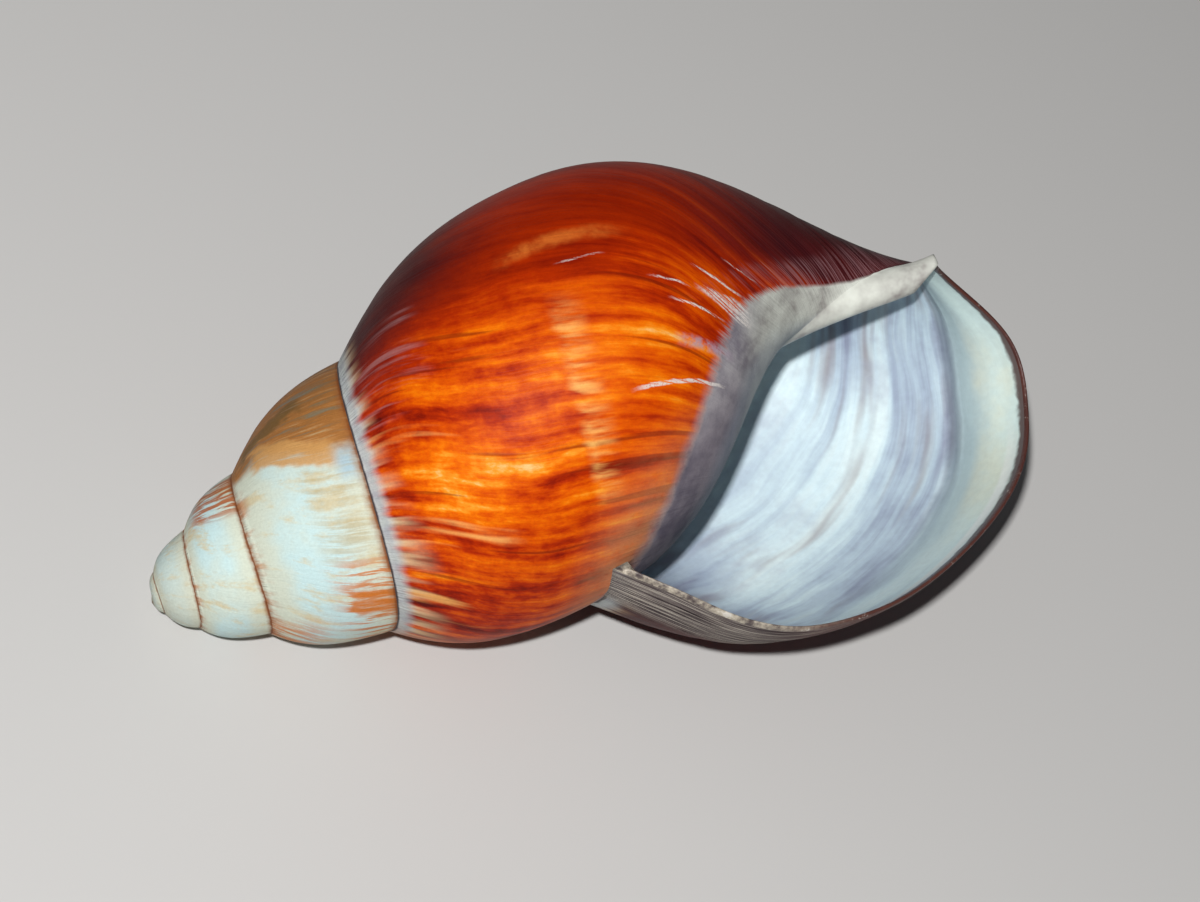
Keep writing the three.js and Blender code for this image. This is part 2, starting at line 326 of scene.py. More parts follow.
beyond = np.arange(1, PER_TURN + 1)
end_z, end_r, end_turn = free_end(beyond / PER_TURN)
top_z = np.concatenate([inner_z[:, -1], end_z])
top_r = np.concatenate([inner_r[:, -1], end_r])
top_turn = np.concatenate([inner_turns[:, -1], end_turn])
pillar_turns = np.concatenate([hollow_turns, -beyond / PER_TURN])
steps = np.arange(PILLAR_STEPS) / PILLAR_STEPS
pillar_points = pillar_surface(
    pillar_turns[:, None], top_z[:, None], top_r[:, None], top_turn[:, None], steps[None, :])
pillar = np.empty((len(pillar_turns), PILLAR_STEPS + 1), int)
pillar[:, :-1] = numbered(pillar_start, len(pillar_turns), PILLAR_STEPS)
pillar[:len(hollow), 0] = inner[:, -1]
pillar[-1, :] = outer[-1, -1]
pillar[:, -1] = outer[np.arange(FIRST_FOOT, LAST + 1), -1]
rim_start = pillar_start + len(pillar_turns) * PILLAR_STEPS

# The lip's rim. The real edge is thin, bare and rounded. Half circles lead from the outer edge over to the
# inner edge, and bulge away from the wall.
RIM_STEPS = 6
BACK_FROM_RIM = 0.004
edge_out = outer_points[-1]
edge_in = in_space(inner_z[-1], inner_r[-1], inner_turns[-1])
behind = outer_turns[-1] + BACK_FROM_RIM
ahead = edge_out - in_space(*profile(behind, places[1:]), behind)
radial = edge_out - edge_in
ahead -= radial * (ahead * radial).sum(-1, keepdims=True) / (radial**2).sum(-1, keepdims=True)
ahead /= np.linalg.norm(ahead, axis=-1, keepdims=True)
half = 0.5 * np.linalg.norm(radial, axis=-1)
half_circle = np.pi * np.arange(1, RIM_STEPS) / RIM_STEPS
rim_points = (
    0.5 * (edge_out + edge_in)[:, None]
    + 0.5 * radial[:, None] * np.cos(half_circle)[None, :, None]
    + (ahead * half[:, None])[:, None] * np.sin(half_circle)[None, :, None]
)
rim = np.empty((COLUMNS, RIM_STEPS + 1), int)
rim[:, 0] = outer[-1, 1:]
rim[:, -1] = inner[-1, 1:]
rim[:, 1:-1] = numbered(rim_start, COLUMNS, RIM_STEPS - 1)
tip_ring = np.concatenate([pillar[len(hollow) - 1:-1, 0], rim[-1, :-1]])

# One skin. The faces of the four parts close into a single wall without a gap, as the real shell is one
# growth. Each face's corners keep their turn and place, and the colours below are laid out by them.
TIP_RISE = 0.3
points = np.concatenate([
    np.zeros((1, 3)),
    outer_points.reshape(-1, 3),
    in_space(inner_z, inner_r, inner_turns).reshape(-1, 3),
    pillar_points.reshape(-1, 3),
    rim_points.reshape(-1, 3),
])
tip_middle = points[tip_ring].mean(axis=0) + [TIP_RISE, 0, 0]
points = to_rest(np.vstack([points, tip_middle]))

OUTSIDE, INSIDE, PILLAR, RIM = range(4)
outer_at = np.hstack([(turns - lead(turns, 0))[:, None], outer_turns])
outer_along = np.broadcast_to(places, outer.shape)
inner_at = np.hstack([(hollow_turns - lead(hollow_turns, 0))[:, None], inner_turns])
inner_along = np.hstack([np.zeros((len(hollow), 1)), inner_places])
pillar_at = np.broadcast_to(pillar_turns[:, None], pillar.shape)
pillar_along = 2 + np.broadcast_to(np.arange(PILLAR_STEPS + 1) / PILLAR_STEPS, pillar.shape)
rim_at = np.broadcast_to(outer_turns[-1][:, None], rim.shape)
rim_along = np.broadcast_to(places[1:, None], rim.shape)


def corners(grid):
    """The four corners of each cell between neighbouring rows and columns, in order round the cell."""
    four = [grid[:-1, :-1], grid[:-1, 1:], grid[1:, 1:], grid[1:, :-1]]
    return np.stack(four, axis=-1).reshape(-1, 4)


def strips(grid, at, along, flip):
    """Four-sided faces of a grid of point numbers, with the turn and the place of each corner."""
    order = [1, 0, 3, 2] if flip else [0, 1, 2, 3]
    return corners(grid)[:, order], corners(at)[:, order], corners(along)[:, order]


def outer_strips(first_row, first_column, last_column):
    """Faces of the outer face between two columns, from a row on to the lip."""
    part = (slice(first_row, None), slice(first_column, last_column + 1))
    return strips(outer[part], outer_at[part], outer_along[part], False)


crest_column = SHOULDER_STEPS
parts = [
    (OUTSIDE, outer_strips(0, 0, crest_column)),
    (OUTSIDE, outer_strips(LAST - PER_TURN, crest_column, crest_column + 1)),
    (OUTSIDE, outer_strips(FIRST_FOOT, crest_column + 1, COLUMNS)),
    (INSIDE, strips(inner, inner_at, inner_along, True)),
    (PILLAR, strips(pillar, pillar_at, pillar_along, True)),
    (RIM, strips(rim, rim_at, rim_along, True)),
]
faces, face_turns, face_places = (np.concatenate([part[k] for _, part in parts]) for k in range(3))
slots = np.concatenate([np.full(len(part[0]), slot) for slot, part in parts])

# Faces that shrink to a triangle at the apex, the lip's corner or the pillar's tip lose a corner.
repeated = faces == np.roll(faces, 1, axis=1)
whole = ~repeated.any(axis=1)
thin = repeated.sum(axis=1) == 1
kept = ~repeated[thin]
triangles, triangle_turns, triangle_places = (
    a[thin][kept].reshape(-1, 3) for a in (faces, face_turns, face_places))

# Faces that close the ends: corners, slot, turn and place.
apex_fan = [0] + outer[0, crest_column:0:-1].tolist()
lip_corner = [int(outer[-1, 0])] + rim[0].tolist() + [int(inner[-1, 0])]
blind_end = inner[0].tolist() + pillar[0, 1:-1].tolist() + outer[FIRST_FOOT, :crest_column + 1:-1].tolist()
tip_fan = np.stack([np.full(len(tip_ring), len(points) - 1), np.roll(tip_ring, -1), tip_ring], axis=-1)
closing = [
    (apex_fan, OUTSIDE, TURNS, 0.5),
    (lip_corner, RIM, -0.1, 0.0),
    (blind_end, INSIDE, HOLLOW_TURNS, 1.0),
]
closing += [(fan, PILLAR, 0.0, 3.0) for fan in tip_fan.tolist()]


def build_mesh(name):
    """All faces in one mesh, without the points that no face uses, and its two maps of surface numbers."""
    lists = faces[whole].tolist() + triangles.tolist() + [face for face, _, _, _ in closing]
    used = np.unique(np.concatenate([np.asarray(face) for face in lists]))
    new_number = np.zeros(len(points), int)
    new_number[used] = np.arange(len(used))
    mesh = bpy.data.meshes.new(name)
    mesh.from_pydata(points[used].tolist(), [], [new_number[face].tolist() for face in lists])
    closing_turns = [np.full(len(face), turn) for face, _, turn, _ in closing]
    closing_places = [np.full(len(face), place) for face, _, _, place in closing]
    turn = np.concatenate([face_turns[whole].ravel(), triangle_turns.ravel()] + closing_turns)
    place = np.concatenate([face_places[whole].ravel(), triangle_places.ravel()] + closing_places)
    growth = turn + through(LIP_LEAD, np.minimum(4 * place, 8)) / 360
    for map_name, first in (("Skin", turn), ("Growth", growth)):
        layer = mesh.uv_layers.new(name=map_name)
        layer.data.foreach_set("uv", np.stack([first, place], axis=-1).ravel())
    slot = np.concatenate([slots[whole], slots[thin], [slot for _, slot, _, _ in closing]])
    mesh.polygons.foreach_set("material_index", slot.astype(np.int32))
    mesh.polygons.foreach_set("use_smooth", np.ones(len(mesh.polygons), bool))
    mesh.update()
    return mesh


shell = bpy.data.objects.new("shell_skin", build_mesh("shell_skin"))
bpy.context.scene.collection.objects.link(shell)
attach(shell, "root")
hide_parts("shell")


# The streaks of the last turn. The real pigment is laid at the mouth's edge as the shell grows, in a thin
# glossy skin over the lime, so each streak is a piece of a growth line. They run from dark red-brown
# through orange to cream.
def tint(red, green, blue):
    """Screen values from 0 to 255, turned to linear light by the sRGB curve; alpha is 1."""
    screen = [v / 255 for v in (red, green, blue)]
    linear = [v / 12.92 if v < 0.0404 else ((v + 0.055) / 1.055) ** 2.4 for v in screen]
    return (*linear, 1.0)


class Graph:
    """Builds one material's nodes; a number, a colour or a socket may be given to any input."""

    def __init__(self, name):
        self.material = bpy.data.materials.new(name)
        self.material.use_nodes = True
        self.nodes = self.material.node_tree.nodes
        self.links = self.material.node_tree.links
        self.surface = self.nodes["Principled BSDF"]

    def put(self, socket, value):
        """Links a socket to an input, or sets the input to a constant."""
        if isinstance(value, bpy.types.NodeSocket):
            self.links.new(value, socket)
        else:
            socket.default_value = value

    def put_all(self, node, values):
        """Fills a node's inputs in order and gives its first output."""
        for socket, value in zip(node.inputs, values):
            self.put(socket, value)
        return node.outputs[0]

    def math(self, operation, a, b=0.0):
        """One step of arithmetic."""
        node = self.nodes.new("ShaderNodeMath")
        node.operation = operation
        return self.put_all(node, (a, b))

    def add(self, a, b):
        """The sum of two values."""
        return self.math("ADD", a, b)

    def times(self, first, *others):
        """The product of two or more values."""
        for other in others:
            first = self.math("MULTIPLY", first, other)
        return first

    def larger(self, a, b):
        """The larger of two values."""
        return self.math("MAXIMUM", a, b)

    def swing(self, x, amount):
        """A noise value turned to a swing about zero: x less a half, times the amount."""
        return self.times(self.add(x, -0.5), amount)

    def step(self, x, low, high, start=0.0, end=1.0):
        """Smooth step from start at low to end at high; high may be below low."""
        node = self.nodes.new("ShaderNodeMapRange")
        node.interpolation_type = "SMOOTHSTEP"
        if low > high:
            low, high, start, end = high, low, end, start
        return self.put_all(node, (x, low, high, start, end))

    def band(self, x, low, high, soft):
        """1 between low and high, falling to 0 over soft on both sides."""
        return self.times(self.step(x, low - soft, low), self.step(x, high + soft, high))

    def uv(self, map_name):
        """The two surface numbers of one of the piece's own maps."""
        node = self.nodes.new("ShaderNodeUVMap")
        node.uv_map = map_name
        parts = self.nodes.new("ShaderNodeSeparateXYZ")
        self.links.new(node.outputs[0], parts.inputs[0])
        return parts.outputs[0], parts.outputs[1]

    def body(self):
        """Object coordinates in metres."""
        return self.nodes.new("ShaderNodeTexCoord").outputs["Object"]

    def noise(self, vector, scale=1.0, detail=2.0, roughness=0.5):
        """Noise from 0 to 1 at a scale, with finer layers by detail and roughness."""
        node = self.nodes.new("ShaderNodeTexNoise")
        self.put(node.inputs["Vector"], vector)
        node.inputs["Scale"].default_value = scale
        node.inputs["Detail"].default_value = detail
        node.inputs["Roughness"].default_value = roughness
        return node.outputs["Fac"]

    def streaks(self, growth, place, kind):
        """Noise on growth and place, each times its own rate; kind adds seed, detail and roughness."""
        growth_rate, place_rate, seed, detail, roughness = kind
        vector = self.nodes.new("ShaderNodeCombineXYZ")
        self.put_all(vector, (self.times(growth, growth_rate), self.times(place, place_rate), seed))
        return self.noise(vector.outputs[0], 1.0, detail, roughness)

    def ramp(self, x, stops):
        """A colour from stops of position and colour."""
        node = self.nodes.new("ShaderNodeValToRGB")
        elements = node.color_ramp.elements
        while len(elements) < len(stops):
            elements.new(0.5)
        for element, (position, colour) in zip(elements, stops):
            element.position = position
            element.color = colour
        self.put(node.inputs[0], x)
        return node.outputs[0]

    def curve(self, x, knots):
        """A smooth curve through knots of x and y."""
        node = self.nodes.new("ShaderNodeFloatCurve")
        line = node.mapping.curves[0]
        while len(line.points) < len(knots):
            line.points.new(0.5, 0.5)
        for point, (at, value) in zip(line.points, knots):
            point.location = (at, value)
        node.mapping.use_clip = False
        node.mapping.update()
        self.put(node.inputs["Value"], x)
        return node.outputs[0]

    def mix(self, factor, a, b, mode="MIX"):
        """From colour a to colour b by a factor, or b blended onto a in another mode."""
        node = self.nodes.new("ShaderNodeMix")
        node.data_type = "RGBA"
        node.blend_type = mode
        node.clamp_factor = True
        self.put(node.inputs[0], factor)
        self.put(node.inputs[6], a)
        self.put(node.inputs[7], b)
        return node.outputs[2]

    def paint(self, under, mask, strength, over):
        """One colour laid over another by a mask times a strength."""
        return self.mix(self.times(mask, strength), under, over)

    def speckled(self, colour, grain, least):
        """A colour darkened here and there by a fine grain, down to a least grey."""
        grey = self.mix(grain, tint(least, least, least), tint(255, 255, 255))
        return self.mix(1.0, colour, grey, "MULTIPLY")

    def bump(self, height, distance, strength=1.0, onto=None):
        """A relief of some height, laid onto another relief."""
        node = self.nodes.new("ShaderNodeBump")
        node.inputs["Strength"].default_value = strength
        node.inputs["Distance"].default_value = distance
        self.put(node.inputs["Height"], height)
        if onto is not None:
            self.links.new(onto, node.inputs["Normal"])
        return node.outputs[0]

    def finish(self, colour, roughness, specular, relief):
        """Gives the surface its colour, roughness, gloss and relief."""
        self.put(self.surface.inputs["Base Color"], colour)
        self.put(self.surface.inputs["Roughness"], roughness)
        self.surface.inputs["Specular IOR Level"].default_value = specular
        self.put(self.surface.inputs["Normal"], relief)
        return self.material


# From here on five values are a kind of streaks: rate along growth, rate along place, seed, detail and
# roughness. Three values with a turn or place are a band: low end, high end and soft edge. Two values are
# where a step starts and ends, and four add the levels that it leads between.
SWAY = (7, 2.2, 0.0, 2, 0.5)
SWAY_TURNS = 0.016
BROAD_STREAKS = (50, 1.0, 3.0, 1, 0.5)
MIDDLE_STREAKS = (120, 3.4, 7.0, 2, 0.5)
FINE_STREAKS = (360, 26.0, 13.0, 3, 0.6)
CLOUDY_STREAKS = (42, 9.0, 11.0, 3, 0.55)
BROAD_SHARE = 0.9
MIDDLE_SHARE = 0.6
FINE_SHARE = 0.26
CLOUDY_SHARE = 0.42
CALM_TOWARD_LIP = (0.70, 0.60, 1.0, 0.32)
GROUND_LEVEL = (0.71, 0.62, 0.49, 0.33)
# Painted light: the streaks are lighter on the front of the last turn, which faces the lamp.
LIT_FRONT_TURNS = (0.69, 0.84, 0.07)
LIT_FRONT_PLACES = (0.4, 1.2, 0.3)
PAINTED_LIGHT_LEVEL = 0.06
# Painted shade: darker past the front of the last turn, and darker toward the seam's crease.
PAINTED_SHADE_BEYOND = (0.76, 0.86, 0.0, -0.08)
NEAR_SEAM = (0.42, 0.08)
PAINTED_SEAM_SHADE = -0.07
STREAK_COLOURS = [
    (0.12, tint(92, 14, 6)),
    (0.26, tint(140, 26, 3)),
    (0.38, tint(176, 44, 1)),
    (0.48, tint(204, 70, 1)),
    (0.57, tint(222, 90, 1)),
    (0.67, tint(238, 116, 4)),
    (0.77, tint(246, 152, 40)),
    (0.90, tint(246, 206, 140)),
]
RAYS = (40, 0.8, 71.0, 3, 0.55)
RAY_EDGE = (0.54, 0.66)
RAY_PLACES = (0.12, 0.55, 0.15)
RAY_TURNS = (0.68, 0.95, 0.05)
RAY_COLOUR = tint(248, 184, 104)
DARK_LINES = (105, 1.1, 77.0, 2, 0.5)
DARK_LINE_EDGE = (0.60, 0.68)
DARK_LINE_TURNS = (0.66, 0.97, 0.04)
DARK_LINE_COLOUR = tint(118, 28, 6)


def streak_colour(g, s):
    """Four noises, long along the profile and short across it, added up and read through a ramp."""
    line = g.add(s.growth, g.swing(g.streaks(s.growth, s.place, SWAY), SWAY_TURNS))
    level = g.add(
        g.swing(g.streaks(line, s.place, BROAD_STREAKS), BROAD_SHARE),
        g.swing(g.streaks(line, s.place, MIDDLE_STREAKS), MIDDLE_SHARE))
    level = g.add(level, g.swing(g.streaks(line, s.place, FINE_STREAKS), FINE_SHARE))
    level = g.add(level, g.swing(g.streaks(s.growth, s.place, CLOUDY_STREAKS), CLOUDY_SHARE))
    level = g.times(level, g.step(s.turn, *CALM_TOWARD_LIP))
    level = g.add(level, g.step(s.turn, *GROUND_LEVEL))
    # Painted light: lighter streaks on the front of the last turn, where the lamp falls square.
    painted_light = g.times(g.band(s.turn, *LIT_FRONT_TURNS), g.band(s.place, *LIT_FRONT_PLACES))
    level = g.add(level, g.times(painted_light, PAINTED_LIGHT_LEVEL))
    # Painted shade: darker past the front, and toward the seam where the turns meet in a crease.
    level = g.add(level, g.step(s.turn, *PAINTED_SHADE_BEYOND))
    level = g.add(level, g.times(g.step(s.place, *NEAR_SEAM), PAINTED_SEAM_SHADE))
    return g.ramp(level, STREAK_COLOURS)


def rays_and_lines(g, s, colour):
    """Long pale rays that run out from the seam, and a few long dark growth lines."""
    ray = g.step(g.streaks(s.growth, s.place, RAYS), *RAY_EDGE)
    ragged = g.add(s.place, g.swing(s.mottle, 0.1))
    ray = g.times(ray, g.band(ragged, *RAY_PLACES), g.band(s.turn, *RAY_TURNS))
    colour = g.paint(colour, ray, 0.7, RAY_COLOUR)
    line = g.step(g.streaks(s.growth, s.place, DARK_LINES), *DARK_LINE_EDGE)
    return g.paint(colour, g.times(line, g.band(s.turn, *DARK_LINE_TURNS)), 0.6, DARK_LINE_COLOUR)


# The crest and the shoulder. The crest is where the real shell rubs, so the skin has gone there in a broken
# chain of pale blots, with one pale arc farther back. The shoulder is purple-brown with a few pale threads.
CHAIN = (90, 5, 21.0, 3, 0.6)
CHAIN_EDGE = (0.40, 0.66)
WORN_PLACES = (0.998, 1.012, 0.045)
WORN_TURNS = (0.70, 0.79, 0.05)
WORN_COLOUR = tint(255, 200, 112)
ARC_SLANT = 0.073
ARC_TURNS = (0.717, 0.719, 0.009)
ARC_PLACES = (0.94, 1.08, 0.12)
ARC_GAPS = (60, 14, 61.0, 3, 0.6)
ARC_GAP_EDGE = (0.35, 0.65, 0.1, 0.5)
ARC_COLOUR = tint(246, 140, 56)
SHADE_TURNS = (0.65, 0.57)
SHADE_PLACES = (1.0, 0.5)
SHADE_TOWARD_LIP = (0.5, 0.3, 0, 0.7)
SHADE_COLOUR = tint(44, 8, 16)
THREADS = (130, 1.5, 17.0, 3, 0.6)
THREAD_EDGE = (0.48, 0.66)
THREAD_TURNS = (0.605, 0.67, 0.02)
THREAD_PLACES = (0.06, 0.40, 0.12)
THREAD_COLOUR = tint(170, 128, 128)
HORN_TURNS = (0.68, 0.60)
HORN_PLACES = (1.2, 1.65)
HORN_DARK = tint(22, 7, 16)
HORN_LIGHT = tint(78, 30, 36)


def crest_wear(g, s, colour):
    """A chain of pale blots in a narrow band of places, and a pale arc along one growth line."""
    chain = g.streaks(s.growth, s.place, CHAIN)
    worn = g.band(g.add(s.place, g.swing(chain, 0.05)), *WORN_PLACES)
    worn = g.times(worn, g.band(s.turn, *WORN_TURNS), g.step(chain, *CHAIN_EDGE))
    colour = g.paint(colour, worn, 0.7, WORN_COLOUR)
    arc_line = g.add(g.add(s.growth, g.times(s.place, ARC_SLANT)), g.swing(s.mottle, 0.006))
    arc = g.times(g.band(arc_line, *ARC_TURNS), g.band(s.place, *ARC_PLACES))
    gaps = g.step(g.streaks(s.growth, s.place, ARC_GAPS), *ARC_GAP_EDGE)
    return g.paint(colour, arc, gaps, ARC_COLOUR)


def shoulder_shade(g, s, colour):
    """Dark toward the seam and the lip, with pale threads near the seam and dark horn beyond the crest."""
    shade = g.times(g.step(s.turn, *SHADE_TURNS), g.step(s.place, *SHADE_PLACES), 0.85)
    colour = g.mix(g.larger(shade, g.step(s.turn, *SHADE_TOWARD_LIP)), colour, SHADE_COLOUR)
    threads = g.step(g.streaks(s.growth, s.place, THREADS), *THREAD_EDGE)
    threads = g.times(g.band(s.turn, *THREAD_TURNS), g.band(s.place, *THREAD_PLACES), threads)
    colour = g.paint(colour, threads, 0.5, THREAD_COLOUR)
    horn = g.times(g.step(s.turn, *HORN_TURNS), g.step(s.place, *HORN_PLACES))
    return g.paint(colour, horn, 0.9, g.mix(g.step(s.hairs, 0.3, 0.7), HORN_DARK, HORN_LIGHT))


# The seam. Where the last turn grows onto the one before, the real shell has a dark thread and a pale
# wrinkled band, which runs out into the streaks like the teeth of a comb.
COMB = (52, 1.0, 5.0, 3, 0.55)
TOOTH_EDGE = (0.44, 0.64)
TOOTH_REACH = (0.66, 0.86, 0.16, 0.30)
TOOTH_FADE = (1.0, 0.15)
TOOTH_COLOUR = tint(236, 204, 158)
SEAM_BAND_EDGE = (0.100, 0.030)
SEAM_GREY = tint(172, 178, 184)
SEAM_PALE = tint(188, 196, 196)
PEACH_TURNS = (0.93, 1.0)
PEACH_PLACES = (1.0, 0.1)
PEACH = tint(206, 150, 116)
SEAM_THREAD = (0.014, 0.005)
THREAD_ABOVE = (0.982, 0.998)
THREAD_ABOVE_TURNS = (1.02, 1.1)
THREAD_ABOVE_GAPS = (0.35, 0.55, 0.3, 0.9)
RUSTIER_TURNS = (1.15, 1.5)
GROOVE = tint(44, 20, 18)
GROOVE_RUSTY = tint(124, 66, 30)


def seam_band(g, s, colour):
    """Teeth where a noise is high, as far as the reach; then the band over them, and a peach haze."""
    comb = g.streaks(s.growth, s.place, COMB)
    reach = g.step(s.turn, *TOOTH_REACH)
    teeth = g.times(g.step(comb, *TOOTH_EDGE), g.step(g.math("DIVIDE", s.place, reach), *TOOTH_FADE))
    colour = g.paint(colour, teeth, 0.9, TOOTH_COLOUR)
    ragged = g.add(s.place, g.add(g.swing(s.hairs, 0.02), g.swing(comb, -0.11)))
    band_colour = g.mix(g.step(s.mottle, 0.3, 0.6), SEAM_GREY, SEAM_PALE)
    colour = g.paint(colour, g.step(ragged, *SEAM_BAND_EDGE), 0.92, band_colour)
    peach = g.times(g.step(s.turn, *PEACH_TURNS), g.step(s.place, *PEACH_PLACES))
    return g.paint(colour, peach, 0.55, PEACH)


def seam_thread(g, s, colour):
    """The dark thread in the seam itself, on both sides of it, rustier on the spire."""
    below = g.step(g.add(s.place, g.swing(s.mottle, 0.012)), *SEAM_THREAD)
    above = g.times(g.step(s.place, *THREAD_ABOVE), g.step(s.turn, *THREAD_ABOVE_TURNS))
    above = g.times(above, g.step(s.stain, *THREAD_ABOVE_GAPS))
    thread_colour = g.mix(g.step(s.turn, *RUSTIER_TURNS), GROOVE, GROOVE_RUSTY)
    return g.paint(colour, g.larger(below, above), 0.9, thread_colour)


# The spire. The oldest turns of the real shell have lost their skin: the lime shows white and pale blue,
# stained cream and rust, with tan skin left on the upper side and dirt in the seams.
SPIRE_WHITE = tint(212, 218, 200)
SPIRE_BLUE = tint(200, 226, 226)
SPIRE_CREAM = tint(212, 196, 156)
SPIRE_OLDEST = tint(200, 200, 182)
SPIRE_STAIN = (26, 1.8, 20.0, 5, 0.65)
SPIRE_FIBRES = (120, 2.0, 27.0, 4, 0.65)
BLUE_PLACES = (0.35, 0.7, 0.25)
SKIN_SLANT = -0.115
MARK_SLANT = -0.035
SKIN_TURNS = (1.20, 1.555, 0.03)
SKIN_COLOURS = [
    (0.34, tint(112, 84, 44)),
    (0.46, tint(160, 106, 54)),
    (0.56, tint(176, 118, 64)),
    (0.7, tint(188, 156, 112)),
]
DIRT_TURNS = (1.545, 1.560, 0.008)
DIRT_PLACES = (0.2, 0.7, 0.1)
DIRT_COLOUR = tint(104, 84, 48)
PATCH_TURNS = (1.553, 1.582, 0.012)
PATCH_PLACES = (0.32, 0.84, 0.10)
PATCH_COLOUR = tint(206, 154, 92)
BLUE_MARK_TURNS = (1.658, 1.666, 0.03)
BLUE_MARK_PLACES = (0.92, 0.94, 0.09)
BLUE_MARK_COLOUR = tint(160, 192, 210)
CREAM_MARK_TURNS = (1.70, 1.78, 0.05)
CREAM_MARK_PLACES = (0.70, 0.92, 0.16)
CREAM_MARK_COLOUR = tint(182, 158, 104)
WISP_TURNS = (1.84, 2.08, 0.03)
WISP_SEAM_PLACES = (0.75, 0.1)
WISP_SEAM_TURNS = (1.86, 1.92)
WISP_CREST_PLACES = (0.5, 0.85)
WISP_CREST_TURNS = (1.83, 2.08, 0.04)
WISP_COLOUR = tint(208, 118, 46)
BLOCK_TURNS = (1.825, 1.865, 0.014)
BLOCK_PLACES = (0.74, 1.05, 0.05)
BLOCK_COLOUR = tint(206, 116, 42)
RUST_SEAM_PLACES = (0.15, 0.01)
RUST_SEAM_TURNS = (1.58, 1.64, 0, 0.8)
RUST_OLD_TURNS = (2.50, 2.585, 0.03)
RUST_FADE = (3.4, 3.0, 0, 0.9)
RUST_COLOUR = tint(178, 92, 32)
OLDEST_TURNS = (3.2, 3.9, 0, 0.6)
SEAM_STAIN_BELOW = (0.05, 0.0)
SEAM_STAIN_ABOVE = (0.945, 1.0)
SEAM_STAIN_TURNS = (1.50, 1.62)
SEAM_STAIN_COLOUR = tint(150, 92, 52)


def spire_skin(g, s):
    """Bare lime, cream stains, and the tan skin in a slanted band of turns with a patch at its end."""
    bare = g.times(g.band(s.place, *BLUE_PLACES), g.step(s.cloud, 0.35, 0.6, 0.1, 1))
    spire = g.mix(bare, SPIRE_WHITE, SPIRE_BLUE)
    spire = g.paint(spire, g.step(s.stain, 0.50, 0.66), 0.8, SPIRE_CREAM)
    skin_turn = g.add(s.spire_turn, g.times(s.place, SKIN_SLANT))
    skin_colour = g.ramp(s.fibres, SKIN_COLOURS)
    spire = g.paint(spire, g.band(skin_turn, *SKIN_TURNS), g.step(s.fibres, 0.3, 0.5, 0.82, 1), skin_colour)
    dirt = g.times(g.band(s.mark_turn, *DIRT_TURNS), g.band(s.place, *DIRT_PLACES))
    spire = g.paint(spire, g.times(dirt, g.step(s.fibres, 0.35, 0.5)), 0.75, DIRT_COLOUR)
    ragged = g.add(s.place, g.swing(s.fibres, 0.25))
    patch = g.times(g.band(skin_turn, *PATCH_TURNS), g.band(ragged, *PATCH_PLACES))
    return g.paint(spire, patch, g.step(s.fibres, 0.30, 0.46, 0.45, 0.9), PATCH_COLOUR)


def spire_marks(g, s, spire):
    """Single marks, each where a band of turns crosses a band of places, broken up by a noise."""
    blue = g.times(g.band(s.mark_turn, *BLUE_MARK_TURNS), g.band(s.place, *BLUE_MARK_PLACES))
    spire = g.paint(spire, blue, g.step(s.cloud, 0.2, 0.6, 0.3, 0.8), BLUE_MARK_COLOUR)
    cream = g.times(g.band(s.spire_turn, *CREAM_MARK_TURNS), g.band(s.place, *CREAM_MARK_PLACES))
    cream = g.times(cream, g.times(g.step(s.fibres, 0.42, 0.6), g.step(s.cloud, 0.4, 0.6)))
    spire = g.paint(spire, cream, 0.6, CREAM_MARK_COLOUR)
    by_seam = g.times(g.step(s.place, *WISP_SEAM_PLACES), g.step(s.spire_turn, *WISP_SEAM_TURNS))
    by_crest = g.times(g.step(s.place, *WISP_CREST_PLACES), g.band(s.spire_turn, *WISP_CREST_TURNS))
    wisp = g.larger(
        g.times(by_seam, g.band(s.spire_turn, *WISP_TURNS)),
        g.times(by_crest, g.step(s.fibres, 0.46, 0.54)))
    spire = g.paint(spire, g.times(wisp, g.step(s.fibres, 0.42, 0.53)), 0.85, WISP_COLOUR)
    ragged = g.add(s.place, g.swing(s.fibres, 0.3))
    block = g.times(g.band(s.mark_turn, *BLOCK_TURNS), g.band(ragged, *BLOCK_PLACES))
    return g.paint(spire, block, g.step(s.fibres, 0.34, 0.48, 0.3, 0.85), BLOCK_COLOUR)


def spire_rust(g, s, spire):
    """Rust under the seam and on the early turns, the dull oldest turns, and the stained seam edges."""
    cloudy_place = g.add(s.place, g.swing(s.cloud, 0.12))
    by_seam = g.times(g.step(cloudy_place, *RUST_SEAM_PLACES), g.step(s.turn, *RUST_SEAM_TURNS))
    early = g.band(g.add(s.turn, g.times(s.place, -0.05)), *RUST_OLD_TURNS)
    early = g.times(early, g.step(s.place, 0.1, 0.5))
    rust = g.larger(
        g.times(by_seam, g.step(s.stain, 0.42, 0.60)),
        g.times(early, g.step(s.fibres, 0.42, 0.52)))
    spire = g.paint(spire, rust, g.step(s.turn, *RUST_FADE), RUST_COLOUR)
    spire = g.mix(g.step(s.turn, *OLDEST_TURNS), spire, SPIRE_OLDEST)
    frayed = g.add(s.place, g.swing(s.mottle, 0.05))
    stain = g.larger(g.step(frayed, *SEAM_STAIN_BELOW), g.step(frayed, *SEAM_STAIN_ABOVE))
    stain = g.times(stain, g.step(s.turn, *SEAM_STAIN_TURNS))
    return g.paint(spire, stain, g.step(s.stain, 0.36, 0.58, 0.35, 0.8), SEAM_STAIN_COLOUR)


# The glaze. The snail's mantle laid a thin grey coat over the turn before, as far as it reached out of the
# mouth. The coat has a frayed edge with a warm halo, and turns bone-white toward the bare pillar end.
GLAZE_TURNS = (0.50, 1.06, 0.06)
GLAZE_CURVE_TURNS = (0.5, 1.0, 0, 1)
GLAZE_RAGGED = (150, 3, 0.6)
GLAZE_FRAY_TURNS = (0.80, 0.70)
GLAZE_FRAY_PLACES = (1.75, 1.6)
GLAZE_FADE = (-0.03, 0.04)
